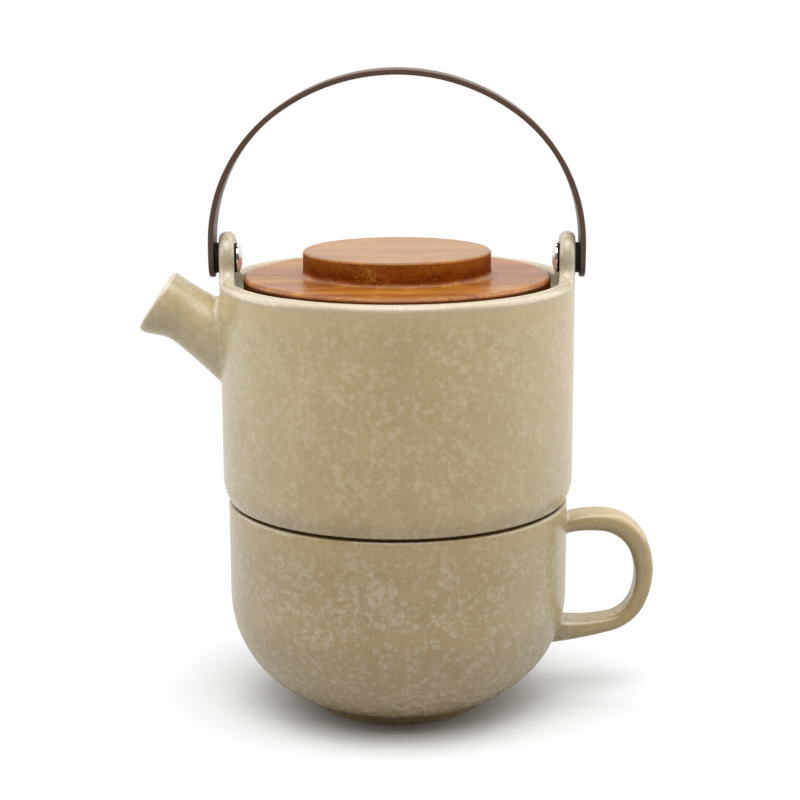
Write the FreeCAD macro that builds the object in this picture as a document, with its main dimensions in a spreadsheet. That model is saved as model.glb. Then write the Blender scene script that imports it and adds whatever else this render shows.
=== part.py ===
import FreeCAD, Part
import math
import os

import Sketcher

# A stoneware tea set for one: a teapot with a wooden lid and a swinging strip handle,
# standing on the cup that it nests in. +Z is up, the spout points to -X and the cup's
# handle to +X. The origin is the middle of the cup's foot, on the table.

os.makedirs("parts", exist_ok=True)
doc = FreeCAD.newDocument("teapot_set")
Vector = FreeCAD.Vector

# Driving dimensions, in millimetres and degrees
DIMENSIONS = {
    # Tea cup
    "cup_height": 67.0,
    "cup_inset": 1.5,
    "cup_wall": 4.0,
    "cup_lip_round": 1.5,
    "bowl_radius": 35.5,
    "bowl_rise": 1.0,
    "cup_foot_spread": 10.1,
    "cup_foot_width": 3.6,
    "cup_foot_recess": 1.5,
    # Cup handle
    "loop_top_drop": 9.8,
    "loop_rise": 17.4,
    "loop_arm_radius": 36.6,
    "loop_arm_turn": 21.4,
    "loop_shoulder_radius": 13.7,
    "loop_shoulder_turn": 64.8,
    "loop_grip_radius": 23.6,
    "loop_grip_turn": 43.4,
    "loop_elbow_radius": 13.2,
    "loop_elbow_turn": 54.2,
    "loop_tail_radius": 78.0,
    "loop_grip_depth": 4.8,
    "loop_grip_width": 10.4,
    "loop_arm_depth": 6.3,
    "loop_arm_width": 11.0,
    "loop_root_depth": 4.9,
    "loop_root_width": 11.6,
    "loop_side_flat": 0.8,
    "loop_root_round": 1.0,
    # Teapot
    "pot_height": 70.0,
    "pot_radius": 55.1,
    "pot_wall": 4.75,
    "pot_floor": 5.0,
    "pot_floor_rise": 4.5,
    "pot_corner_radius": 13.5,
    "pot_corner_rise": 7.5,
    "pot_inner_round": 9.0,
    "pot_foot_width": 4.0,
    "pot_foot_drop": 3.5,
    "nesting_gap": 1.2,
    "seam_height": 0.65,
    "seam_inset": 0.4,
    "seam_round": 0.4,
    "pot_edge_round": 0.9,
    "rim_outer_round": 2.2,
    "rim_flat": 0.65,
    "ledge_drop": 4.2,
    "ledge_width": 4.15,
    "ledge_height": 3.0,
    # Ears
    "pivot_rise": 5.9,
    "ear_radius": 8.15,
    "ear_blend": 5.0,
    "ear_flat_depth": 0.22,
    "ear_flat_margin": 0.3,
    # Spout
    "spout_tilt": 33.0,
    "spout_projection": 20.0,
    "spout_drop": 7.1,
    "spout_mouth_radius": 10.4,
    "spout_lip_step": 4.0,
    "spout_lip_radius": 10.2,
    "spout_neck_step": 4.8,
    "spout_neck_radius": 9.3,
    "spout_neck_lift": 0.9,
    "spout_waist_step": 5.2,
    "spout_waist_radius": 9.4,
    "spout_waist_lift": 1.0,
    "spout_throat_step": 9.0,
    "spout_throat_radius": 10.25,
    "spout_throat_lift": 0.45,
    "spout_base_step": 6.5,
    "spout_base_radius": 11.1,
    "spout_base_lift": 0.1,
    "spout_root_step": 6.5,
    "spout_root_radius": 11.7,
    "spout_wall": 3.0,
    "spout_root_round": 1.6,
    "spout_lip_round": 1.3,
    "strainer_wall": 3.0,
    "strainer_hole_radius": 2.1,
    "strainer_pitch_radius": 5.3,
    "strainer_drop": 21.8,
    # Lid
    "lid_gap": 2.75,
    "lid_thickness": 5.0,
    "lid_edge_round": 1.7,
    "knob_radius": 29.15,
    "knob_height": 7.6,
    "knob_edge_round": 0.9,
    "knob_base_round": 1.8,
    "plug_gap": 1.6,
    "plug_depth": 6.5,
    "seal_groove_depth": 1.8,
    "seal_drop": 0.3,
    "seal_height": 2.4,
    "seal_gap": 0.15,
    "seal_round": 0.9,
    # Strip handle and its pivots
    "strip_width": 12.0,
    "strip_thickness": 1.7,
    "strip_edge_round": 0.35,
    "leg_rise": 4.7,
    "shoulder_inset": 7.1,
    "crown_excess": 12.0,
    "outer_washer_radius": 4.7,
    "outer_washer_thickness": 1.5,
    "inner_washer_radius": 4.5,
    "inner_washer_thickness": 0.95,
    "washer_round": 0.3,
    "cap_radius": 4.65,
    "cap_dome": 1.45,
    "cap_edge": 0.35,
    "barrel_radius": 2.1,
    "barrel_end_gap": 0.5,
    "barrel_clearance": 0.06,
    "stud_radius": 1.25,
    "stud_grip": 4.0,
    "stud_head_radius": 2.4,
    "stud_head_depth": 1.0,
    "washer_clearance": 0.3,
    "assembly_gap": 0.05,
    # How far the forms that only cut run past what they cut
    "cut_margin": 5.0,
    "channel_margin": 1.0,
}

sheet = doc.addObject("Spreadsheet::Sheet", "sizes")
for row, (word, number) in enumerate(DIMENSIONS.items(), start=1):
    sheet.set(f"A{row}", word)
    sheet.set(f"B{row}", str(number))
    sheet.setAlias(f"B{row}", word)
doc.recompute()


class Size:
    """A number together with the sheet formula that it comes from."""

    def __init__(self, number, formula=None):
        self.number = float(number)
        self.formula = formula if formula else f"({number})"

    def __add__(self, other):
        other = as_size(other)
        return Size(self.number + other.number, f"({self.formula} + {other.formula})")

    def __sub__(self, other):
        other = as_size(other)
        return Size(self.number - other.number, f"({self.formula} - {other.formula})")

    def __rsub__(self, other):
        return as_size(other) - self

    def __mul__(self, other):
        other = as_size(other)
        return Size(self.number * other.number, f"({self.formula} * {other.formula})")

    def __rmul__(self, other):
        return as_size(other) * self

    def __truediv__(self, other):
        other = as_size(other)
        return Size(self.number / other.number, f"({self.formula} / {other.formula})")

    def __neg__(self):
        return Size(-self.number, f"(-{self.formula})")


def as_size(value):
    return value if isinstance(value, Size) else Size(value)


def root(size):
    return Size(math.sqrt(size.number), f"sqrt({size.formula})")


def cosine(size):
    return Size(math.cos(math.radians(size.number)), f"cos({size.formula})")


def sine(size):
    return Size(math.sin(math.radians(size.number)), f"sin({size.formula})")


class Sizes:
    """The sheet's cells as sizes, by their alias."""

    def __getattr__(self, word):
        return Size(float(sheet.get(word)), f"sizes.{word}")


s = Sizes()
# How near to a surface a point must lie to count as on it, and the points tried per edge
TOUCH = 0.02
PROBES = 9

# Levels and radii that several pieces share
seat_level = s.cup_height
rim_level = seat_level + s.pot_height
pivot_level = rim_level + s.pivot_rise
ear_top = pivot_level + s.ear_radius
ledge_level = rim_level - s.ledge_drop
pot_floor_level = seat_level + s.pot_floor_rise
cavity_radius = s.pot_radius - s.pot_wall
ledge_bore = cavity_radius - s.ledge_width
cup_radius = s.pot_radius - s.cup_inset
cup_inner = cup_radius - s.cup_wall
bowl_centre = cup_radius - s.bowl_radius
bowl_level = s.bowl_rise + s.bowl_radius
ear_outer_flat = s.pot_radius - s.ear_flat_depth
strip_inner = ear_outer_flat + s.outer_washer_thickness
strip_outer = strip_inner + s.strip_thickness
cap_seat = cavity_radius - s.inner_washer_thickness
barrel_end = ear_outer_flat - s.barrel_end_gap
stud_start = barrel_end - s.stud_grip
barrel_bore = s.stud_radius + s.assembly_gap
ear_hole_radius = s.barrel_radius + s.barrel_clearance
washer_bore = s.barrel_radius + s.washer_clearance
spout_reach = s.pot_radius + s.spout_projection
spout_level = rim_level - s.spout_drop


def bind(item, path, size):
    item.setExpression(path, as_size(size).formula)


def plane_of(body, role):
    return next(item for item in body.Origin.OriginFeatures if item.Role == role)


def sketch_in(body, role):
    sketch = body.newObject("Sketcher::SketchObject", f"{body.Name}_outline")
    sketch.AttachmentSupport = [(plane_of(body, role), "")]
    sketch.MapMode = "FlatFace"
    return sketch


def hold(sketch, kind, geometry, position, size):
    """Fix one coordinate of a point of the sketch to a size."""
    index = sketch.addConstraint(
        Sketcher.Constraint(kind, -1, 1, geometry, position, size.number))
    sketch.setExpression(f"Constraints[{index}]", size.formula)


def draw(sketch, corners):
    """Draw a closed outline. A corner is (x, y), reached by a line, or
    (x, y, centre x, centre y), reached by the shorter arc about that centre."""
    corners = [tuple(as_size(value) for value in corner) for corner in corners]
    pieces = []
    for number, corner in enumerate(corners):
        before = corners[number - 1]
        start = Vector(before[0].number, before[1].number, 0)
        end = Vector(corner[0].number, corner[1].number, 0)
        if len(corner) == 2:
            index = sketch.addGeometry(Part.LineSegment(start, end), False)
            pieces.append((index, 1, 2))
            continue
        centre = Vector(corner[2].number, corner[3].number, 0)
        from_centre, to_end = start - centre, end - centre
        circle = Part.Circle(centre, Vector(0, 0, 1), from_centre.Length)
        first = math.atan2(from_centre.y, from_centre.x)
        last = math.atan2(to_end.y, to_end.x)
        left_turn = from_centre.cross(to_end).z > 0
        ends = (first, last) if left_turn else (last, first)
        index = sketch.addGeometry(Part.ArcOfCircle(circle, *ends), False)
        pieces.append((index, 1, 2) if left_turn else (index, 2, 1))
    for number, (index, _, end) in enumerate(pieces):
        follower = pieces[(number + 1) % len(pieces)]
        sketch.addConstraint(
            Sketcher.Constraint("Coincident", index, end, follower[0], follower[1]))
    for (index, _, end), corner in zip(pieces, corners):
        if len(corner) == 2:
            hold(sketch, "DistanceX", index, end, corner[0])
            hold(sketch, "DistanceY", index, end, corner[1])
            continue
        hold(sketch, "DistanceX", index, 3, corner[2])
        hold(sketch, "DistanceY", index, 3, corner[3])
        across = abs(corner[0].number - corner[2].number)
        along = abs(corner[1].number - corner[3].number)
        if across > along:
            hold(sketch, "DistanceY", index, end, corner[1])
        else:
            hold(sketch, "DistanceX", index, end, corner[0])


def turned(name, corners, axis="V_Axis"):
    """A body turned about Z (V_Axis) or X (H_Axis) from an outline in the XZ plane."""
    body = doc.addObject("PartDesign::Body", name)
    if axis == "V_Axis":
        # The seam of the turning goes to +Y, clear of spout, ears and loop
        body.Placement.Rotation = FreeCAD.Rotation(Vector(0, 0, 1), 90)
    sketch = sketch_in(body, "XZ_Plane")
    draw(sketch, corners)
    turning = body.newObject("PartDesign::Revolution", f"{name}_turning")
    turning.Profile = sketch
    turning.ReferenceAxis = (sketch, [axis])
    turning.Angle = 360
    doc.recompute()
    return body


def extruded(name, corners, role, length):
    """A body padded to both sides of the XZ or YZ plane."""
    body = doc.addObject("PartDesign::Body", name)
    sketch = sketch_in(body, role)
    draw(sketch, corners)
    pad = body.newObject("PartDesign::Pad", f"{name}_pad")
    pad.Profile = sketch
    pad.SideType = "Symmetric"
    bind(pad, "Length", length)
    doc.recompute()
    return body


def edges_where(shape, test):
    return [number for number, edge in enumerate(shape.Edges, start=1) if test(edge)]


def circle_at(radius, level=None, across=None):
    """A test for a full-circle edge about Z at a height, or about X at a distance."""
    def test(edge):
        if not isinstance(edge.Curve, Part.Circle):
            return False
        centre = edge.Curve.Center
        place = centre.z if across is None else centre.x
        wanted = level.number if across is None else across.number
        return (abs(edge.Curve.Radius - radius.number) < TOUCH
                and abs(place - wanted) < TOUCH)
    return test


def round_in(body, test, radius):
    """Round the edges of a body that pass the test."""
    base = body.Tip
    names = [f"Edge{number}" for number in edges_where(base.Shape, test)]
    if not names:
        raise RuntimeError(f"{body.Name}: no edge to round")
    fillet = body.newObject("PartDesign::Fillet", f"{body.Name}_round")
    fillet.Base = (base, names)
    bind(fillet, "Radius", radius)
    doc.recompute()
    return fillet


def rounded(name, base, choices):
    """A Part fillet over one or more (test, radius) choices."""
    fillet = doc.addObject("Part::Fillet", name)
    fillet.Base = base
    fillet.Edges = [(number, radius.number, radius.number)
                    for test, radius in choices
                    for number in edges_where(base.Shape, test)]
    if not fillet.Edges:
        raise RuntimeError(f"{name}: no edge to round")
    doc.recompute()
    return fillet


def cut(name, base, tool):
    result = doc.addObject("Part::Cut", name)
    result.Base, result.Tool = base, tool
    doc.recompute()
    return result


def fused(name, *items):
    result = doc.addObject("Part::MultiFuse", name)
    result.Shapes = list(items)
    doc.recompute()
    return result


def common(name, base, tool):
    result = doc.addObject("Part::Common", name)
    result.Base, result.Tool = base, tool
    doc.recompute()
    return result


def drum(name, radius, height, level=0):
    """An upright cylinder."""
    cylinder = doc.addObject("Part::Cylinder", name)
    bind(cylinder, "Radius", radius)
    bind(cylinder, "Height", height)
    bind(cylinder, "Placement.Base.z", level)
    return cylinder


def bar(name, radius, start, length, level, aside=0):
    """A cylinder that lies along +X from its start."""
    cylinder = doc.addObject("Part::Cylinder", name)
    cylinder.Placement.Rotation = FreeCAD.Rotation(Vector(0, 1, 0), 90)
    bind(cylinder, "Radius", radius)
    bind(cylinder, "Height", length)
    bind(cylinder, "Placement.Base.x", start)
    bind(cylinder, "Placement.Base.y", aside)
    bind(cylinder, "Placement.Base.z", level)
    return cylinder


# Tea cup: a straight-sided bowl on a turned foot ring
def make_cup():
    inner_bowl = s.bowl_radius - s.cup_wall
    foot_radius = bowl_centre + s.cup_foot_spread
    foot_inner = foot_radius - s.cup_foot_width
    foot_top = bowl_level - root(s.bowl_radius * s.bowl_radius
                                 - s.cup_foot_spread * s.cup_foot_spread)
    wall = turned("cup_wall", [
        (0, s.cup_foot_recess),
        (foot_inner, s.cup_foot_recess),
        (foot_inner, 0),
        (foot_radius, 0),
        (foot_radius, foot_top),
        (cup_radius, bowl_level, bowl_centre, bowl_level),
        (cup_radius, s.cup_height),
        (cup_inner, s.cup_height),
        (cup_inner, bowl_level),
        (bowl_centre, bowl_level - inner_bowl, bowl_centre, bowl_level),
        (0, bowl_level - inner_bowl),
    ])
    round_in(wall, circle_at(cup_radius, s.cup_height), s.cup_lip_round)
    round_in(wall, circle_at(cup_inner, s.cup_height), s.cup_lip_round)
    # The loop is trimmed in the middle of the wall
    mid_bowl = s.bowl_radius - s.cup_wall / 2
    core = turned("cup_core", [
        (0, bowl_level - mid_bowl),
        (bowl_centre, bowl_level - mid_bowl),
        (bowl_centre + mid_bowl, bowl_level, bowl_centre, bowl_level),
        (bowl_centre + mid_bowl, s.cup_height),
        (0, s.cup_height),
    ])
    loop = cut("loop_trimmed", make_cup_loop(bowl_centre + mid_bowl), core)
    joined = fused("cup_joined", wall, loop)
    return rounded("cup", joined, [(at_loop_root, s.loop_root_round)])


def at_loop_root(edge):
    """The closed seams where the loop meets the cup's outer wall."""
    for point in edge.discretize(PROBES):
        around = math.hypot(point.x, point.y)
        if point.z >= bowl_level.number:
            gap = around - cup_radius.number
        else:
            down = bowl_level.number - point.z
            gap = math.hypot(around - bowl_centre.number, down) - s.bowl_radius.number
        if abs(gap) > TOUCH or abs(point.y) > s.loop_root_width.number or point.x < 0:
            return False
    return True


def run_arc(point, heading, radius, turn):
    """An arc in the XZ plane that bends to the right of its heading."""
    centre = point + Vector(math.sin(heading), 0, -math.cos(heading)) * radius

    def place(angle):
        return centre + Vector(-math.sin(angle), 0, math.cos(angle)) * radius

    end = heading - turn
    arc = Part.Arc(point, place(heading - turn / 2), place(end))
    return arc.toShape(), place(end), end


def make_cup_loop(start):
    """The cup's loop: a softened strap swept along five tangent arcs, deepest at its shoulder."""
    point = Vector(start.number, 0, (s.cup_height - s.loop_top_drop).number)
    heading = math.radians(s.loop_rise.number)
    at_root = (s.loop_root_width, s.loop_root_depth)
    at_arm = (s.loop_arm_width, s.loop_arm_depth)
    at_grip = (s.loop_grip_width, s.loop_grip_depth)
    sections = [strap_section("loop_section_top", point, heading, *at_root)]
    runs = []
    for word, radius, turn, size in (
            ("arm", s.loop_arm_radius, s.loop_arm_turn, at_arm),
            ("shoulder", s.loop_shoulder_radius, s.loop_shoulder_turn, at_arm),
            ("grip", s.loop_grip_radius, s.loop_grip_turn, at_grip),
            ("elbow", s.loop_elbow_radius, s.loop_elbow_turn, at_grip)):
        run, point, heading = run_arc(point, heading, radius.number,
                                      math.radians(turn.number))
        runs.append(run)
        sections.append(strap_section(f"loop_section_{word}", point, heading, *size))
    # The last run goes on through the bowl's wall
    radius = s.loop_tail_radius.number
    centre_x = point.x + radius * math.sin(heading)
    turn = heading + math.pi - math.asin((bowl_centre.number - centre_x) / radius)
    run, point, heading = run_arc(point, heading, radius, turn)
    runs.append(run)
    sections.append(strap_section("loop_section_low", point, heading, *at_grip))
    spine = doc.addObject("Part::Feature", "loop_spine")
    spine.Shape = Part.Wire(runs)
    sweep = doc.addObject("Part::Sweep", "cup_loop")
    sweep.Sections = sections
    sweep.Spine = (spine, [f"Edge{number + 1}" for number in range(len(runs))])
    sweep.Solid = True
    doc.recompute()
    return sweep


def strap_section(name, place, heading, width, depth):
    """A rounded rectangle square to the heading, with its width along Y."""
    corner = (depth - s.loop_side_flat).number / 2
    outward = Vector(-math.sin(heading), 0, math.cos(heading))
    across = Vector(0, width.number / 2, 0)
    up = outward * (depth.number / 2)
    flat_side, flat_top = Vector(0, corner, 0), outward * corner
    slant = 1 - math.sqrt(0.5)
    edges = []
    for side, rise in ((1, 1), (-1, 1), (-1, -1), (1, -1)):
        tip = place + across * side + up * rise
        below = tip - flat_top * rise
        inward = tip - flat_side * side
        middle = tip - (flat_top * rise + flat_side * side) * slant
        ends = (below, inward) if side * rise > 0 else (inward, below)
        edges.append(Part.Arc(ends[0], middle, ends[1]).toShape())
    starts = [edge.Vertexes[0].Point for edge in edges]
    finishes = [edge.Vertexes[-1].Point for edge in edges]
    for number in range(4):
        edges.append(Part.makeLine(finishes[number], starts[(number + 1) % 4]))
    section = doc.addObject("Part::Feature", name)
    section.Shape = Part.Wire(Part.sortEdges(edges)[0])
    return section


# Teapot: a straight pot with two ears, a lid ledge, a nesting foot and a spout
def make_pot():
    corner_centre = s.pot_radius - s.pot_corner_radius
    corner_level = seat_level + s.pot_corner_rise
    # The pot rests inside the lip's outer round, and a narrow seam stays open round that
    seam_level = seat_level + s.seam_height
    corner_drop = s.pot_corner_rise - s.seam_height
    corner_reach = root(s.pot_corner_radius * s.pot_corner_radius
                        - corner_drop * corner_drop)
    seam_outer = corner_centre + corner_reach
    seam_inner = cup_radius - s.cup_lip_round - s.seam_inset
    foot_level = seat_level - s.pot_foot_drop
    foot_radius = cup_inner - s.nesting_gap
    foot_inner = foot_radius - s.pot_foot_width
    under = pot_floor_level - s.pot_floor
    ledge_under = ledge_level - s.ledge_height
    inner_flat = cavity_radius - s.pot_inner_round
    inner_top = pot_floor_level + s.pot_inner_round
    wall = turned("pot_wall", [
        (0, under),
        (foot_inner, under),
        (foot_inner, foot_level),
        (foot_radius, foot_level),
        (foot_radius, seat_level),
        (seam_inner, seat_level),
        (seam_inner, seam_level),
        (seam_outer, seam_level),
        (s.pot_radius, corner_level, corner_centre, corner_level),
        (s.pot_radius, ear_top),
        (cavity_radius, ear_top),
        (cavity_radius, ledge_level),
        (ledge_bore, ledge_level),
        (ledge_bore, ledge_under),
        (cavity_radius, ledge_under - s.ledge_width),
        (cavity_radius, inner_top),
        (inner_flat, pot_floor_level, inner_flat, inner_top),
        (0, pot_floor_level),
    ])
    round_in(wall, circle_at(seam_outer, seam_level), s.seam_round)
    round_in(wall, circle_at(foot_radius, foot_level), s.pot_edge_round)
    round_in(wall, circle_at(ledge_bore, ledge_level), s.pot_edge_round)

    # The rim line seen from the side: level, with an ear rising at each end
    side = s.pot_radius + s.cut_margin
    blend_start = s.ear_radius + s.ear_blend
    blend_top = rim_level + s.ear_blend
    rim_line = extruded("rim_line", [
        (-side, 0),
        (side, 0),
        (side, rim_level),
        (blend_start, rim_level),
        (s.ear_radius, blend_top, blend_start, blend_top),
        (s.ear_radius, pivot_level),
        (0, ear_top, 0, pivot_level),
        (-s.ear_radius, pivot_level, 0, pivot_level),
        (-s.ear_radius, blend_top),
        (-blend_start, rim_level, -blend_start, blend_top),
        (-side, rim_level),
    ], "YZ_Plane", 2 * side)
    trimmed = common("pot_trimmed", wall, rim_line)
    rim_inner_round = s.pot_wall - s.rim_outer_round - s.rim_flat
    pot = rounded("pot_rim", trimmed, [
        (rim_edge(s.pot_radius), s.rim_outer_round),
        (rim_edge(cavity_radius), rim_inner_round),
    ])

    mid_wall = s.pot_radius - s.pot_wall / 2
    spout = cut("spout_outside", spout_loft("spout_form", 0),
                drum("spout_trim", mid_wall, ear_top))
    joined = fused("pot_joined", pot, spout)
    pot = rounded("pot_spouted", joined, [(at_spout_root, s.spout_root_round)])

    strainer_face = cavity_radius + s.strainer_wall
    channel = cut("spout_channel", spout_loft("channel_form", s.spout_wall),
                  drum("channel_trim", strainer_face, ear_top))
    openings = [channel]
    # The strainer is one hole in the middle of a ring of six
    hole_level = rim_level - s.strainer_drop
    ring_holes = 6
    spots = [(0, 0)]
    for step in range(ring_holes):
        around = 2 * math.pi * step / ring_holes
        spots.append((math.cos(around), math.sin(around)))
    for number, (aside, up) in enumerate(spots):
        openings.append(bar(f"strainer_hole_{number}", s.strainer_hole_radius,
                            -strainer_face - s.channel_margin, s.strainer_wall + s.pot_wall,
                            hole_level + s.strainer_pitch_radius * up,
                            s.strainer_pitch_radius * aside))
    openings.append(bar("ear_holes", ear_hole_radius, -side, 2 * side, pivot_level))
    flat_radius = s.outer_washer_radius + s.ear_flat_margin
    openings.append(bar("ear_flat_right", flat_radius, ear_outer_flat, s.cut_margin,
                        pivot_level))
    openings.append(bar("ear_flat_left", flat_radius, -ear_outer_flat - s.cut_margin,
                        s.cut_margin, pivot_level))
    openings.append(bar("ear_flats_inside", flat_radius, -cavity_radius, 2 * cavity_radius,
                        pivot_level))
    pot = cut("pot_open", pot, fused("pot_openings", *openings))
    return rounded("pot", pot, [(at_spout_mouth, s.spout_lip_round)])


def rim_edge(radius):
    """A test for the edges of the rim and ears on one of the pot's two walls."""
    def test(edge):
        return all(point.z > rim_level.number - TOUCH
                   and abs(math.hypot(point.x, point.y) - radius.number) < TOUCH
                   for point in edge.discretize(PROBES))
    return test


def spout_loft(name, inset):
    """The spout's form through round sections square to its axis, from lip to root."""
    tilt = s.spout_tilt
    # The channel starts a little outside the mouth so that it cuts it open
    mouth = -s.channel_margin if inset else as_size(0)
    stations = [(mouth, s.spout_mouth_radius, as_size(0))]
    back = as_size(0)
    for step, radius, lift in (
            (s.spout_lip_step, s.spout_lip_radius, as_size(0)),
            (s.spout_neck_step, s.spout_neck_radius, s.spout_neck_lift),
            (s.spout_waist_step, s.spout_waist_radius, s.spout_waist_lift),
            (s.spout_throat_step, s.spout_throat_radius, s.spout_throat_lift),
            (s.spout_base_step, s.spout_base_radius, s.spout_base_lift),
            (s.spout_root_step, s.spout_root_radius, as_size(0))):
        back = back + step
        stations.append((back, radius, lift))
    sections = []
    for number, (back, radius, lift) in enumerate(stations):
        section = doc.addObject("Part::Circle", f"{name}_section_{number}")
        section.Placement.Rotation = FreeCAD.Rotation(Vector(0, -1, 0), 45)
        bind(section, "Placement.Rotation.Angle", 90 - tilt)
        bind(section, "Radius", radius - inset)
        bind(section, "Placement.Base.x",
             -spout_reach + back * cosine(tilt) + lift * sine(tilt))
        bind(section, "Placement.Base.z",
             spout_level - back * sine(tilt) + lift * cosine(tilt))
        sections.append(section)
    loft = doc.addObject("Part::Loft", name)
    loft.Sections = sections
    loft.Solid = True
    doc.recompute()
    return loft


def at_spout_root(edge):
    """The seam where the spout meets the pot's outer wall."""
    return all(point.x < 0 and abs(point.y) < 2 * s.spout_root_radius.number
               and point.z < ledge_level.number
               and abs(math.hypot(point.x, point.y) - s.pot_radius.number) < TOUCH
               for point in edge.discretize(PROBES))


def at_spout_mouth(edge):
    """The outer and inner edges of the spout's lip."""
    tilt = math.radians(s.spout_tilt.number)
    for point in edge.discretize(PROBES):
        forward = ((-spout_reach.number - point.x) * math.cos(tilt)
                   + (point.z - spout_level.number) * math.sin(tilt))
        if abs(forward) > TOUCH:
            return False
    return True


# Lid: one turned piece of wood, a flange with a broad knob above and a plug below
def make_lid():
    lid_radius = cavity_radius - s.lid_gap
    plug_radius = ledge_bore - s.plug_gap
    plug_level = ledge_level - s.plug_depth
    groove_radius = plug_radius - s.seal_groove_depth
    groove_top = ledge_level - s.seal_drop
    groove_low = groove_top - s.seal_height
    flange_top = ledge_level + s.lid_thickness
    knob_top = flange_top + s.knob_height
    lid = turned("lid_turned", [
        (0, plug_level),
        (plug_radius, plug_level),
        (plug_radius, groove_low),
        (groove_radius, groove_low),
        (groove_radius, groove_top),
        (plug_radius, groove_top),
        (plug_radius, ledge_level),
        (lid_radius, ledge_level),
        (lid_radius, flange_top),
        (s.knob_radius, flange_top),
        (s.knob_radius, knob_top),
        (0, knob_top),
    ])
    round_in(lid, circle_at(lid_radius, flange_top), s.lid_edge_round)
    round_in(lid, circle_at(s.knob_radius, knob_top), s.knob_edge_round)
    round_in(lid, circle_at(s.knob_radius, flange_top), s.knob_base_round)
    round_in(lid, circle_at(plug_radius, plug_level), s.knob_edge_round)

    seal_inner = groove_radius + s.assembly_gap
    seal_outer = ledge_bore - s.seal_gap
    seal = turned("seal", [
        (seal_inner, groove_low),
        (seal_outer, groove_low),
        (seal_outer, groove_top),
        (seal_inner, groove_top),
    ])
    round_in(seal, circle_at(seal_outer, groove_low), s.seal_round)
    round_in(seal, circle_at(seal_outer, groove_top), s.seal_round)
    return lid, seal


# Strip handle: a flat strip bent to a three-centred arch, hung outside the ears
def make_bail():
    aside = s.shoulder_inset
    between = s.crown_excess
    crown_radius = strip_outer - aside + between
    spring_level = pivot_level + s.leg_rise
    centre_level = spring_level - root(between * between - aside * aside)
    half_width = s.strip_width / 2
    low = pivot_level - half_width

    def joint(inset):
        reach = (crown_radius - inset) / between
        return aside * reach, centre_level + (spring_level - centre_level) * reach

    outer_x, outer_z = joint(0)
    inner_x, inner_z = joint(s.strip_thickness)
    crown, shoulder = (0, centre_level), (aside, spring_level)
    left_shoulder = (-aside, spring_level)
    crown_top = centre_level + crown_radius
    crown_under = crown_top - s.strip_thickness
    arch = extruded("bail_arch", [
        (strip_outer, low),
        (strip_outer, spring_level),
        (outer_x, outer_z) + shoulder,
        (0, crown_top) + crown,
        (-outer_x, outer_z) + crown,
        (-strip_outer, spring_level) + left_shoulder,
        (-strip_outer, low),
        (-strip_inner, low),
        (-strip_inner, spring_level),
        (-inner_x, inner_z) + left_shoulder,
        (0, crown_under) + crown,
        (inner_x, inner_z) + crown,
        (strip_inner, spring_level) + shoulder,
        (strip_inner, low),
    ], "XZ_Plane", s.strip_width)
    above = crown_top + s.cut_margin
    ends = extruded("bail_ends", [
        (half_width, above),
        (-half_width, above),
        (-half_width, pivot_level),
        (0, low, 0, pivot_level),
        (half_width, pivot_level, 0, pivot_level),
    ], "YZ_Plane", 2 * (strip_outer + s.cut_margin))
    strip = common("bail_strip", arch, ends)
    strip = rounded("bail_soft", strip, [(at_strip_edge, s.strip_edge_round)])
    seats = [stud_form(f"stud_seat_{side}", side, s.assembly_gap)
             for side in ("right", "left")]
    return cut("bail", strip, fused("stud_seats", *seats))


def at_strip_edge(edge):
    """The long edges along the strip's two faces, down round its ends."""
    points = edge.discretize(PROBES)
    half_width = s.strip_width.number / 2
    on_side = all(abs(abs(point.y) - half_width) < TOUCH for point in points)
    round_the_end = all(
        point.z < pivot_level.number + TOUCH
        and abs(math.hypot(point.y, point.z - pivot_level.number) - half_width) < TOUCH
        for point in points)
    through = abs(edge.Length - s.strip_thickness.number) < TOUCH
    return (on_side or round_the_end) and not through


def place_at_pivot(item, side):
    turn = 0 if side == "right" else 180
    item.Placement.Rotation = FreeCAD.Rotation(Vector(0, 0, 1), turn)
    bind(item, "Placement.Base.z", pivot_level)
    doc.recompute()
    return item


def stud_form(name, side, clearance):
    """The stud's form, grown by a clearance where it is the hole in the strip."""
    head_start = strip_outer - s.stud_head_depth
    start = stud_start
    end = strip_outer + clearance
    shank = s.stud_radius + clearance
    head = s.stud_head_radius + clearance
    outline = [(start, 0), (end, 0), (end, head)]
    if clearance:
        # The hole runs straight out past the strip's face
        outline.append((strip_outer, head))
    outline += [(head_start, shank), (start, shank)]
    stud = turned(name, outline, "H_Axis")
    return place_at_pivot(stud, side)


def make_washer(name, side, start, thickness, radius, bore):
    """A rubber washer turned about the pivot, its outer edges eased."""
    end = start + thickness
    washer = turned(name, [(start, bore), (end, bore), (end, radius), (start, radius)],
                    "H_Axis")
    round_in(washer, circle_at(radius, across=start), s.washer_round)
    round_in(washer, circle_at(radius, across=end), s.washer_round)
    return place_at_pivot(washer, side)


def make_cap_nut(name, side):
    """A low domed nut with a threaded barrel that turns in the ear's hole."""
    dome_height = s.cap_dome - s.cap_edge
    dome_radius = ((s.cap_radius * s.cap_radius + dome_height * dome_height)
                   / (2 * dome_height))
    apex = cap_seat - s.cap_dome
    dome_foot = cap_seat - s.cap_edge
    nut = turned(name, [
        (stud_start, 0),
        (stud_start, barrel_bore),
        (barrel_end, barrel_bore),
        (barrel_end, s.barrel_radius),
        (cap_seat, s.barrel_radius),
        (cap_seat, s.cap_radius),
        (dome_foot, s.cap_radius),
        (apex, 0, apex + dome_radius, 0),
    ], "H_Axis")
    return place_at_pivot(nut, side)


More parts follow.
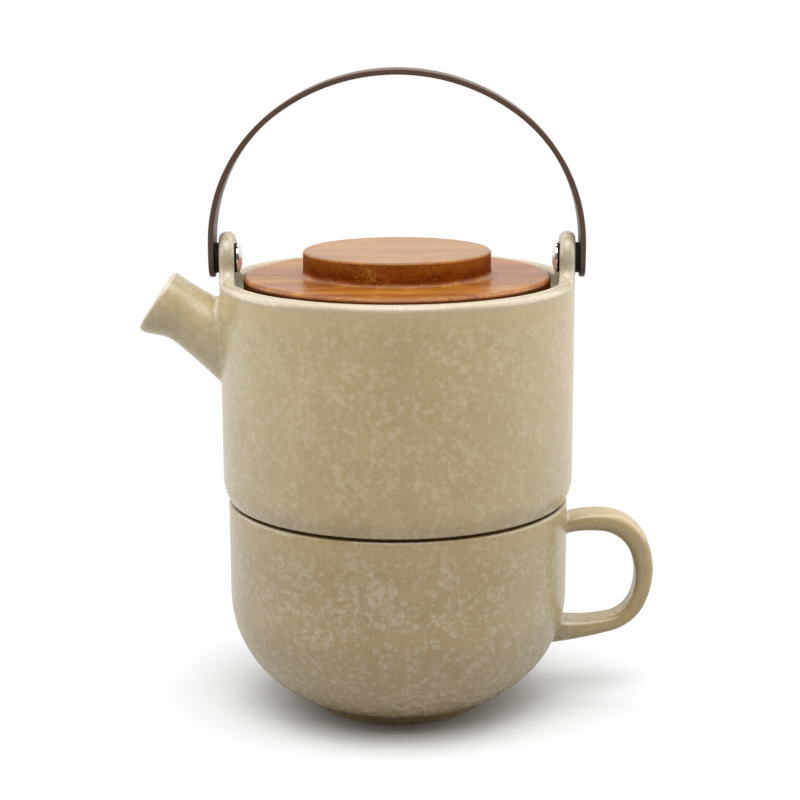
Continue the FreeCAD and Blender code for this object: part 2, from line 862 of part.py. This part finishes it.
nodes = {"teapot_body": make_pot(), "tea_cup": make_cup()}
nodes["lid"], nodes["lid_seal"] = make_lid()
nodes["bail_handle"] = make_bail()
for side in ("left", "right"):
    nodes[f"outer_washer_{side}"] = make_washer(
        f"washer_out_{side}", side, ear_outer_flat, s.outer_washer_thickness,
        s.outer_washer_radius, washer_bore)
    nodes[f"inner_washer_{side}"] = make_washer(
        f"washer_in_{side}", side, cap_seat, s.inner_washer_thickness,
        s.inner_washer_radius, washer_bore)
    nodes[f"cap_nut_{side}"] = make_cap_nut(f"nut_{side}", side)
    nodes[f"pivot_stud_{side}"] = stud_form(f"stud_{side}", side, 0)

doc.recompute()
for item in doc.Objects:
    if "Invalid" in item.State or "Error" in item.State:
        raise RuntimeError(f"{item.Name} failed: {item.State}")
for name, item in nodes.items():
    item.Label = name
    shape = item.Shape
    if shape.isNull() or not shape.isValid() or len(shape.Solids) != 1:
        raise RuntimeError(f"{name}: null, invalid or not one solid")
    shape.exportStep(f"parts/{name}.step")
    print(f"{name:22s} {shape.Volume / 1000:8.2f} cm3  {shape.BoundBox}")
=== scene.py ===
import math

import bpy
from mathutils import Matrix, Vector

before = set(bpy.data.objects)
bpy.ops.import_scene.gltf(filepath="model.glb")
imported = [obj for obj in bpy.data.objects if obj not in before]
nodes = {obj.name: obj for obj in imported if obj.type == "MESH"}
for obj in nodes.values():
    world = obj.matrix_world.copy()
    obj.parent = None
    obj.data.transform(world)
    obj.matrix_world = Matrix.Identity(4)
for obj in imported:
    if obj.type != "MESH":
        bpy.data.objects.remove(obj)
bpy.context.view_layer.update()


# Tea cup
# Stoneware, cast with its foot ring and its loop handle, in a satin sand glaze that breaks
# into grey-cream clouds and specks. The foot ring is wiped bare where it stands.
class Wire:
    """A shader value that sums are written with. Each sum on it adds a Math node."""

    def __init__(self, finish, socket):
        self.finish = finish
        self.socket = socket

    def maths(self, operation, *values):
        return self.finish.node("Math", {"operation": operation}, dict(enumerate(values)))

    def __add__(self, other):
        return self.maths("ADD", self, other)

    def __radd__(self, other):
        return self.maths("ADD", other, self)

    def __sub__(self, other):
        return self.maths("SUBTRACT", self, other)

    def __rsub__(self, other):
        return self.maths("SUBTRACT", other, self)

    def __mul__(self, other):
        return self.maths("MULTIPLY", self, other)

    def __rmul__(self, other):
        return self.maths("MULTIPLY", other, self)

    def __truediv__(self, other):
        return self.maths("DIVIDE", self, other)

    def __pow__(self, other):
        return self.maths("POWER", self, other)

    def __abs__(self):
        return self.maths("ABSOLUTE", self)


class Finish:
    """A material, its nodes written as expressions. Lengths in it are in millimetres."""

    def __init__(self, name, **constants):
        self.material = bpy.data.materials.new(name)
        self.material.use_nodes = True
        self.tree = self.material.node_tree
        self.surface = self.tree.nodes["Principled BSDF"]
        for word, number in constants.items():
            self.surface.inputs[word.replace("_", " ")].default_value = number
        metres = self.node("TexCoord", output="Object")
        self.place = self.node("VectorMath", {"operation": "SCALE"},
                               {0: metres, "Scale": 1000}, output="Vector")
        self.x, self.y, self.z = (self.node("SeparateXYZ", {}, {0: self.place}, output=axis)
                                  for axis in "XYZ")

    def node(self, kind, settings=None, inputs=None, output=0):
        """A node of any kind, with its settings and inputs, as one of its outputs."""
        made = self.tree.nodes.new("ShaderNode" + kind)
        for word, setting in (settings or {}).items():
            if word == "stops":
                ramp = made.color_ramp
                while len(ramp.elements) < len(setting):
                    ramp.elements.new(1.0)
                for element, (position, colour) in zip(ramp.elements, setting):
                    element.position = position
                    element.color = (*colour, 1)
            else:
                setattr(made, word, setting)
        for word, value in (inputs or {}).items():
            self.feed(made.inputs[word], value)
        return Wire(self, made.outputs[output])

    def feed(self, socket, value):
        if isinstance(value, Wire):
            self.tree.links.new(value.socket, socket)
        else:
            socket.default_value = (*value, 1) if socket.type == "RGBA" else value

    def noise(self, lump, detail=2, place=None, rough=0.5):
        """Noise from 0 to 1 whose lumps are so many millimetres across."""
        return self.node("TexNoise", {}, {
            "Vector": place or self.place, "Scale": 1 / lump, "Detail": detail,
            "Roughness": rough})

    def rise(self, value, low, high):
        """0 below low, 1 above high and smooth between."""
        return self.node("MapRange", {"interpolation_type": "SMOOTHSTEP"},
                         {"Value": value, "From Min": low, "From Max": high})

    def mix(self, first, second, mask):
        """The second colour over the first, by a mask."""
        return self.node("Mix", {"data_type": "RGBA"}, {0: mask, 6: first, 7: second},
                         output=2)

    def relief(self, height, depth):
        """The normal of a surface that a height from 0 to 1 raises by a depth."""
        return self.node("Bump", {}, {"Strength": 1.0, "Distance": depth / 1000,
                                      "Height": height}, output="Normal")

    def put(self, on, **inputs):
        """Give the surface its varying inputs, and the nodes of the frame this material."""
        for word, value in inputs.items():
            self.feed(self.surface.inputs[word.replace("_", " ")], value)
        for name in on:
            mesh = nodes[name].data
            mesh.materials.clear()
            mesh.materials.append(self.material)


SAND = (0.408, 0.306, 0.147)
PALE_SAND = (0.444, 0.336, 0.168)
WARM_SAND = (0.485, 0.322, 0.145)
BROWN_MOTTLE = (0.325, 0.242, 0.106)
GREY_CREAM = (0.610, 0.520, 0.375)
SIDE_REFLECTION_GREY = (0.475, 0.447, 0.300)
POOLED_YELLOW = (0.525, 0.390, 0.198)
THIN_CREAM = (0.425, 0.370, 0.266)
DARK_GLAZE_AND_SHADE = (0.090, 0.050, 0.000)
PALE_CLAY = (0.42, 0.33, 0.22)
DARK_CLAY = (0.33, 0.25, 0.16)
BARE_ROUGHNESS = 0.85
WIPED_EDGE = 0.12
# The drops of each layer: how large they are, how far they reach and how much they weigh
DROPS = ((2.6, 0.50, 0.36), (1.7, 0.52, 0.36), (1.1, 0.55, 0.28))
DROP_SHAKE = 1.3


def glaze_clouds(finish, mottle):
    """How far the glaze turns grey-cream: a layer of clouds and three of drops, which crowd
    together in some places."""
    shake = finish.node("TexNoise", {}, {"Vector": finish.place, "Scale": 1 / DROP_SHAKE,
                                         "Detail": 2.0}, output="Color")
    warped = finish.node("VectorMath", {"operation": "MULTIPLY_ADD"}, {
        0: shake, 1: (DROP_SHAKE,) * 3, 2: finish.place}, output="Vector")
    crowd = finish.noise(13.0) - 0.5
    wide = finish.rise(finish.noise(2.6, 3, warped, 0.6) + crowd * 0.3, 0.47, 0.71)
    turned = wide * 0.40
    for size, share, weight in DROPS:
        settings = {"Vector": warped, "Scale": 1 / size, "Randomness": 1.0}
        spread = finish.node("TexVoronoi", {}, settings, output="Distance")
        lot = finish.node("TexVoronoi", {}, settings, output="Color")
        chance = finish.node("SeparateColor", {}, {0: lot}, output="Red")
        reach = (chance + crowd * 0.6 + 0.20) * share
        turned = turned + finish.rise(reach - spread + 0.16, 0.0, 0.34) * weight
    return turned * (0.60 + mottle * 0.80)


def sand_glaze(name, on, clouds, bare_below, places):
    """The set's glaze. clouds is how much of it turns grey-cream, and bare_below the level
    that it is wiped off below. places takes the finish and gives four masks: where the glaze
    runs thin and creamy, where it pools yellow, where the clouds are few, and how much darker
    it is, with painted shade in the seam where the pot stands on the cup."""
    finish = Finish(name, IOR=1.6)
    thin, pooled, calm, dark_and_shade = places(finish)
    mottle = finish.noise(0.62)
    turned = glaze_clouds(finish, mottle)
    glaze = finish.mix(SAND, PALE_SAND, finish.rise(finish.noise(10.0), 0.36, 0.66))
    glaze = finish.mix(glaze, WARM_SAND,
                       finish.rise(finish.noise(5.5), 0.50, 0.76) * (clouds - 0.30))
    glaze = finish.mix(glaze, BROWN_MOTTLE,
                       finish.rise(mottle, 0.46, 0.74) * 0.38 * (1 - calm))
    glaze = finish.mix(glaze, GREY_CREAM, finish.rise(turned, 0.0, 1.05) * clouds
                       * (1 - thin) * (1 - calm))
    # Painted reflection: the white room's reflection greys the glaze towards the spout and
    # towards the loop, where the sides are seen at a slant
    sides = finish.rise(abs(finish.x), 14.0, 52.0)
    glaze = finish.mix(glaze, SIDE_REFLECTION_GREY, sides * (1 - calm) * 0.34)
    glaze = finish.mix(glaze, POOLED_YELLOW, pooled)
    glaze = finish.mix(glaze, THIN_CREAM, thin)
    # A darker glaze in places, and painted shade in the seam where the pot stands on the cup
    glaze = finish.mix(glaze, DARK_GLAZE_AND_SHADE, dark_and_shade)
    bare = 1 - finish.rise(finish.z + (finish.noise(1.6) - 0.5) * WIPED_EDGE,
                           bare_below, bare_below + WIPED_EDGE)
    clay = finish.mix(PALE_CLAY, DARK_CLAY, finish.noise(0.35, 3))
    gloss = 0.25 + turned * 0.05 + (mottle - 0.5) * 0.08
    waviness = finish.noise(7.0) * 0.8 + finish.noise(1.6) * 0.2
    finish.put(on, Base_Color=finish.mix(glaze, clay, bare),
               Roughness=gloss * (1 - bare) + BARE_ROUGHNESS * bare,
               Normal=finish.relief(waviness, 0.03))


SEAT_LEVEL = 67.0
LOOP_ROOT = 54.0


def cup_places(finish):
    """The glaze pools under the brim and on the loop. The loop and the foot have few clouds.
    The cup is darker all over, more so up the wall, and darkest in painted shade where the
    pot stands."""
    band = finish.rise(finish.z, SEAT_LEVEL - 13.0, SEAT_LEVEL - 2.0)
    loop = finish.rise(finish.x, LOOP_ROOT, LOOP_ROOT + 6.0)
    foot = 1 - finish.rise(finish.z, 3.5, 10.0)
    wall = finish.rise(finish.z, 8.0, 34.0)
    # Painted shade on the cup's lip, in the seam under the pot
    shade_under_pot = finish.rise(finish.z, SEAT_LEVEL - 0.75, SEAT_LEVEL - 0.35)
    return (0.0, band * 0.50 + loop * 0.35, loop * 0.75 + foot * 0.75,
            0.17 + wall * 0.12 + shade_under_pot * 0.66)


sand_glaze("cup_glaze", ["tea_cup"], clouds=0.80, bare_below=0.35, places=cup_places)


# Teapot
# Stoneware from the same kiln, cast in one with its two ears and its spout. The glaze runs
# thin and creamy over the rim, the ears and the spout's lip.
RIM_LEVEL = 137.0
MOUTH_RADIUS = 50.8
SPOUT_ROOT = -55.0
SPOUT_TIP = (-75.1, 129.9)
SPOUT_TILT = math.radians(33.0)


def length(first, second):
    return (first * first + second * second) ** 0.5


def pot_places(finish):
    """The glaze is thin on the lip, the rim and the ears, and pools in a band below the rim.
    That band and the spout have few clouds. It is a little darker towards the bottom and on
    the rim's crest, and darkest in painted shade in the seam over the cup."""
    spout = 1 - finish.rise(finish.x, SPOUT_ROOT - 9.0, SPOUT_ROOT)
    forward = ((SPOUT_TIP[0] - finish.x) * math.cos(SPOUT_TILT)
               + (finish.z - SPOUT_TIP[1]) * math.sin(SPOUT_TILT))
    lip = finish.rise(forward, -1.8, -0.1) * (1 - finish.rise(finish.x, -70.0, -66.0))
    inner = 1 - finish.rise(length(finish.x, finish.y), MOUTH_RADIUS, MOUTH_RADIUS + 1.5)
    height = finish.z + inner * 7.0
    rim = finish.rise(height, RIM_LEVEL - 4.6, RIM_LEVEL - 0.4)
    crest = (finish.rise(height, RIM_LEVEL - 1.6, RIM_LEVEL - 0.4)
             * (1 - finish.rise(finish.z, RIM_LEVEL + 0.3, RIM_LEVEL + 2.0)))
    band = finish.rise(finish.z, RIM_LEVEL - 12.0, RIM_LEVEL - 2.0) * (1 - spout)
    low = 1 - finish.rise(finish.z, 66.0, 122.0)
    # Painted shade along the pot's foot, in the seam where it stands on the cup
    seam_shade = (1 - inner) * (1 - finish.rise(finish.z, SEAT_LEVEL + 0.70, SEAT_LEVEL + 0.95))
    return (lip * 0.7 + rim * 0.85, band * 0.45, spout * 0.30 + band * 0.60,
            low * 0.13 + crest * 0.12 + seam_shade * 0.84)


sand_glaze("pot_glaze", ["teapot_body"], clouds=0.49, bare_below=63.65, places=pot_places)


# Lid
# One piece of orange-brown hardwood, turned with a broad knob and oiled. Its grain runs
# along the spout. The knob's side shows dark pores and one pale curl beside a small knot.
FLANGE_LEVEL = 137.8
KNOB_LEVEL = 145.4
HEART = (30.0, 40.0)
CURL_AT = -7.5
KNOT_AT = (-6.3, 139.2)
RINGS = ((0.0, (0.175, 0.048, 0.003)), (0.40, (0.255, 0.082, 0.006)),
         (0.75, (0.308, 0.114, 0.012)), (1.0, (0.375, 0.162, 0.026)))
RING_LINE = (0.095, 0.020, 0.002)
DARK_PATCH = (0.165, 0.040, 0.003)
KNOB_TOP_SHEEN = (0.330, 0.172, 0.040)
EARLY_SIDE = (0.125, 0.017, 0.001)
LATE_SIDE = (0.228, 0.043, 0.003)
UPPER_SIDE = (0.345, 0.104, 0.011)
FLANGE_GAP_SHADE = (0.045, 0.009, 0.001)
CURL = (0.520, 0.250, 0.060)
HALO = (0.330, 0.130, 0.020)
KNOT = (0.060, 0.012, 0.002)
PORE = (0.050, 0.010, 0.002)


def vector(finish, x, y, z):
    return finish.node("CombineXYZ", {}, {0: x, 1: y, 2: z}, output="Vector")


def stretched(finish, along, across):
    """The place, which makes the marks of noise so many times as long and as wide."""
    return vector(finish, finish.x / along, finish.y / across, finish.z / across)


def wood_grain(finish, knob_top):
    """The faces' colour, how late in its year the wood grew, and its fibre."""
    # Growth rings lie round the tree's heart, far below the lid and behind it
    sway = (finish.noise(1.0, place=stretched(finish, 30.0, 9.0)) - 0.5) * 5.0
    ring = length(finish.y - HEART[0], finish.z - HEART[1]) + sway
    lengthwise = vector(finish, finish.x / 70.0, ring, 0.0)
    fibre = finish.noise(0.5, 3, stretched(finish, 14.0, 1.0))
    late = finish.rise(finish.noise(3.4, 3, lengthwise) * 0.60 + fibre * 0.40, 0.38, 0.63)
    lines = finish.rise(finish.noise(0.62, 3, lengthwise, 0.6), 0.55, 0.70)
    patches = finish.rise(finish.noise(15.0), 0.48, 0.76)
    colour = finish.node("ValToRGB", {"stops": RINGS}, {0: late}, output="Color")
    # Painted sheen: the knob's top is paler and shows fewer ring lines, as where it catches
    # the light
    colour = finish.mix(colour, RING_LINE, lines * (0.50 - knob_top * 0.30))
    colour = finish.mix(colour, KNOB_TOP_SHEEN, knob_top * 0.42)
    return finish.mix(colour, DARK_PATCH, patches * 0.30), late, fibre


def wood_sides(finish, late, flange_side):
    """The turned sides' colour, darker as painted shade and paler towards the knob's top."""
    upper = finish.rise(finish.z + (finish.noise(6.0) - 0.5) * 5.0, FLANGE_LEVEL + 2.5,
                        KNOB_LEVEL - 1.0)
    side = finish.mix(EARLY_SIDE, LATE_SIDE, late)
    side = finish.mix(side, UPPER_SIDE, upper * 0.54)
    # Painted shade: the flange's side is nearly black, in the gap inside the pot's rim
    return finish.mix(side, FLANGE_GAP_SHADE, flange_side)


def wood_curl(finish, colour, knob_side):
    """The colour with the curl and the knot on it. They are on the front of the knob, and the
    curl runs out on the flange below it."""
    front = ((1 - finish.rise(finish.y, -26.0, -20.0))
             * (1 - finish.rise(finish.z, KNOB_LEVEL - 2.6, KNOB_LEVEL - 0.6)))
    bend = (finish.noise(3.6) - 0.5) * 8.0 + (KNOB_LEVEL - 4.0 - finish.z) * 0.45
    from_curl = abs(finish.x - CURL_AT - bend)
    from_knot = length(finish.x - KNOT_AT[0], finish.z - KNOT_AT[1])
    broken = finish.rise(finish.noise(1.4), 0.32, 0.60)
    flecked = finish.rise(finish.noise(1.1, 3), 0.42, 0.66)
    curl = (1 - finish.rise(from_curl, 0.0, 1.0)) * front * broken
    halo = (1 - finish.rise(from_curl, 1.0, 7.5)) * front * flecked
    knot = (1 - finish.rise(from_knot, 0.3, 0.8)) * front
    colour = finish.mix(colour, CURL, curl * 0.90 * (0.35 + knob_side * 0.65))
    colour = finish.mix(colour, HALO, halo * knob_side * 0.8)
    return finish.mix(colour, KNOT, knot * 0.8)


def cover(finish, shader, mask):
    """Lay a second shader over the surface, by a mask."""
    surface = Wire(finish, finish.surface.outputs[0])
    covered = finish.node("MixShader", {}, {0: mask, 1: surface, 2: shader})
    finish.feed(finish.tree.nodes["Material Output"].inputs["Surface"], covered)


def oiled_wood(name, on):
    finish = Finish(name, IOR=1.30, Coat_Roughness=0.26)
    knob_top = finish.rise(finish.z, KNOB_LEVEL - 0.9, KNOB_LEVEL - 0.1)
    knob_side = finish.rise(finish.z, FLANGE_LEVEL + 0.2, FLANGE_LEVEL + 1.8) * (1 - knob_top)
    flange_side = 1 - finish.rise(finish.z, FLANGE_LEVEL - 1.3, FLANGE_LEVEL - 0.5)
    # The turned sides soak up more oil than the faces do, and stay matt. They are painted
    # darker, partly for that oil and partly as painted shade
    turned_sides = knob_side + flange_side
    colour, late, fibre = wood_grain(finish, knob_top)
    colour = finish.mix(colour, wood_sides(finish, late, flange_side), turned_sides * 0.88)
    colour = wood_curl(finish, colour, knob_side)
    # Pores are short dark dashes along the grain, thickest on the turned sides
    many = finish.rise(finish.noise(9.0), 0.35, 0.65) * 0.06 + turned_sides * 0.05
    dashes = finish.noise(0.36, place=stretched(finish, 3.2, 1.0), rough=0.6)
    pores = finish.rise(dashes + many, 0.64, 0.74)
    colour = finish.mix(colour, PORE, pores * (0.55 + turned_sides * 0.25))
    relief = finish.relief(fibre * 0.4 + (1 - pores) * 0.6, 0.04)
    finish.put(on, Base_Color=colour,
               Roughness=0.34 + (fibre - 0.5) * 0.12 + pores * 0.2,
               Coat_Weight=0.12 + knob_top * 0.12 - pores * 0.10, Normal=relief)
    matt = finish.node("BsdfDiffuse", {}, {"Color": colour, "Normal": relief})
    cover(finish, matt, turned_sides * 0.9)


oiled_wood("lid_wood", ["lid"])


# Lid seal
# A soft ring of cloudy silicone in the plug's groove, which grips the ledge under the lid.
# The lid hides it while the pot is closed.
CLOUDY_SILICONE = (0.60, 0.58, 0.53)
WHITE_SILICONE = (0.70, 0.68, 0.63)


def silicone(name, on):
    finish = Finish(name, IOR=1.41)
    bloom = finish.noise(3.0, 3)
    finish.put(on, Base_Color=finish.mix(CLOUDY_SILICONE, WHITE_SILICONE, bloom),
               Roughness=0.42 + (bloom - 0.5) * 0.2,
               Normal=finish.relief(finish.noise(0.4), 0.01))


silicone("seal_silicone", ["lid_seal"])


# Strip handle
# Flat steel strip bent to an arch and coated dark brown. The coat is satin, with a fine
# texture, and is a little thinner and paler along the two cut edges.
STRIP_WIDTH = 12.0
DARK_COAT = (0.056, 0.028, 0.018)
PALE_COAT = (0.080, 0.043, 0.029)
COAT_EDGE = (0.105, 0.060, 0.041)
COAT_GRAIN = (0.038, 0.023, 0.016)


def brown_coat(name, on):
    finish = Finish(name, IOR=1.4)
    grain = finish.noise(0.30)
    drift = finish.noise(9.0)
    edge = finish.rise(abs(finish.y) + (drift - 0.5) * 0.3, STRIP_WIDTH / 2 - 0.55,
                       STRIP_WIDTH / 2 - 0.05)
    coat = finish.mix(DARK_COAT, PALE_COAT, drift)
    coat = finish.mix(coat, COAT_EDGE, edge * 0.55)
    coat = finish.mix(coat, COAT_GRAIN, finish.rise(grain, 0.55, 0.80) * 0.4)
    finish.put(on, Base_Color=coat, Roughness=0.44 + (grain - 0.5) * 0.14 + edge * 0.06,
               Normal=finish.relief(grain, 0.006))


brown_coat("strip_coat", ["bail_handle"])


# Washers
# Black rubber, one between each ear and the strip and a thinner one under each cap nut.
# They hold the strip where it is put.
BLACK_RUBBER = (0.006, 0.004, 0.003)
WORN_RUBBER = (0.014, 0.010, 0.008)


def black_rubber(name, on):
    finish = Finish(name, IOR=1.25)
    grain = finish.noise(0.22)
    finish.put(on, Base_Color=finish.mix(BLACK_RUBBER, WORN_RUBBER, grain),
               Roughness=0.60 + (grain - 0.5) * 0.2,
               Normal=finish.relief(grain, 0.015))


black_rubber("washer_rubber", ["outer_washer_left", "outer_washer_right",
                               "inner_washer_left", "inner_washer_right"])


# Cap nuts and studs
# Bright plated steel. Each stud's head lies flush in the strip's outer face, and its shank
# screws into the barrel of the domed nut on the inner side of the ear.
PIVOT_LEVEL = 142.9
SMUDGED_PLATE = (0.70, 0.69, 0.67)
CLEAN_PLATE = (0.82, 0.81, 0.79)


def bright_plate(name, on):
    finish = Finish(name, Metallic=1.0)
    radius = length(finish.y, finish.z - PIVOT_LEVEL)
    turning = finish.noise(0.16, place=vector(finish, radius, finish.x * 0.2, 0.0))
    clean = finish.noise(2.2, 3)
    finish.put(on, Base_Color=finish.mix(SMUDGED_PLATE, CLEAN_PLATE, clean),
               Roughness=0.10 + clean * 0.07 + turning * 0.05,
               Normal=finish.relief(turning, 0.002))


bright_plate("pivot_plate", ["cap_nut_left", "cap_nut_right",
                             "pivot_stud_left", "pivot_stud_right"])


# Table and light
# A plain white table under soft light: two broad lamps overhead, one of them in front, and
# a lamp on each side a little behind the set.
# The camera sees the table turn plain white away from the set, as the room beyond it is.
# Gloss sees that white at the sides and behind the set, and a darker room in front.
TABLE_SIZE = 40.0
TABLE_PAINT = 0.66
TABLE_BOUNCE = 0.48
WHITE_FROM = 42.0
WHITE_BEYOND = 185.0
GLOSS_FROM = -420.0
GLOSS_BEYOND = -90.0
ROOM_LEVEL = 0.14
ROOM_FROM_ABOVE = 0.06
FRONT_GLOSS = 0.25
LAMP_AIM = (0, 0, 0.1)
# Each lamp's width and depth, its watts and its place, in metres
LAMPS = {
    "overhead": ((1.3, 1.3), 14.8, (0.05, 0.10, 1.35)),
    "front": ((1.2, 0.8), 12.9, (0.0, -0.60, 1.25)),
    "left": ((1.4, 1.2), 11.4, (-0.95, 0.20, 0.74)),
    "right": ((1.4, 1.2), 12.0, (0.95, 0.20, 0.74))}


def sights(finish):
    """1 for a ray from the camera or through glass, and 1 for one from a glossy surface."""
    camera, glossy, through = (finish.node("LightPath", output=word) for word in (
        "Is Camera Ray", "Is Glossy Ray", "Is Transmission Ray"))
    return camera.maths("MAXIMUM", camera, through), glossy


half = TABLE_SIZE / 2
sweep = bpy.data.meshes.new("table")
sweep.from_pydata([(-half, -half, 0), (half, -half, 0), (half, half, 0), (-half, half, 0)],
                  [], [(0, 1, 2, 3)])
table = bpy.data.objects.new("table", sweep)
bpy.context.scene.collection.objects.link(table)
white = Finish("table_white", Roughness=1.0, Specular_IOR_Level=0.0)
plain, glossy = sights(white)
white.feed(white.surface.inputs["Base Color"], white.mix(
    (TABLE_BOUNCE,) * 3, (TABLE_PAINT,) * 3, plain))
far = white.rise(length(white.x, white.y), WHITE_FROM, WHITE_BEYOND)
behind = white.rise(white.y, GLOSS_FROM, GLOSS_BEYOND)
glow = white.node("Emission", {}, {"Color": (1, 1, 1), "Strength": 1.0})
cover(white, glow, (plain + glossy * behind) * far)
sweep.materials.append(white.material)


class Room(Finish):
    """The room's light, written as a finish is."""

    def __init__(self, world):
        self.tree = world.node_tree
        self.surface = self.tree.nodes["Background"]
        heading = self.node("TexCoord", output="Generated")
        self.y, self.z = (self.node("SeparateXYZ", {}, {0: heading}, output=axis)
                          for axis in "YZ")


room = bpy.data.worlds.new("room")
bpy.context.scene.world = room
room.use_nodes = True
air = Room(room)
plain, glossy = sights(air)
in_gloss = FRONT_GLOSS + (1 - FRONT_GLOSS) * air.rise(air.y, -0.6, 0.2)
on_walls = ROOM_LEVEL + air.z * ROOM_FROM_ABOVE
air.surface.inputs["Color"].default_value = (1, 1, 1, 1)
air.feed(air.surface.inputs["Strength"],
         plain + glossy * in_gloss + (1 - plain) * (1 - glossy) * on_walls)

for name, (size, watts, place) in LAMPS.items():
    light = bpy.data.lights.new(name, "AREA")
    light.shape = "RECTANGLE"
    light.size, light.size_y = size
    light.energy = watts
    lamp = bpy.data.objects.new(name, light)
    bpy.context.scene.collection.objects.link(lamp)
    lamp.location = place
    lamp.rotation_euler = (
        Vector(LAMP_AIM) - Vector(place)).to_track_quat("-Z", "Y").to_euler()


# Camera
# A long lens a little above the set, tipped down and a hair out of level.
# It stands where the photograph's camera stood, which the set's ellipses gave.
LENS = 87.75
SENSOR_WIDTH = 36.0
CLIP_START = 0.01
CAMERA_REACH = 0.600
CAMERA_HEIGHT = 0.2317
CAMERA_ROUND = math.radians(1.07)
CAMERA_DOWN = math.radians(12.60)
CAMERA_ROLL = 0.0040
FRAME_SHIFT = 2.44 / 800

eye = bpy.data.cameras.new("eye")
eye.lens = LENS
eye.sensor_width = SENSOR_WIDTH
eye.shift_x = FRAME_SHIFT
eye.clip_start = CLIP_START
camera = bpy.data.objects.new("camera", eye)
bpy.context.scene.collection.objects.link(camera)
camera.matrix_world = (
    Matrix.Translation((CAMERA_REACH * math.sin(CAMERA_ROUND),
                        -CAMERA_REACH * math.cos(CAMERA_ROUND), CAMERA_HEIGHT))
    @ Matrix.Rotation(CAMERA_ROUND, 4, "Z")
    @ Matrix.Rotation(math.pi / 2 - CAMERA_DOWN, 4, "X")
    @ Matrix.Rotation(-CAMERA_ROLL, 4, "Z"))
bpy.context.scene.camera = camera
bpy.context.scene.view_settings.view_transform = "Standard"
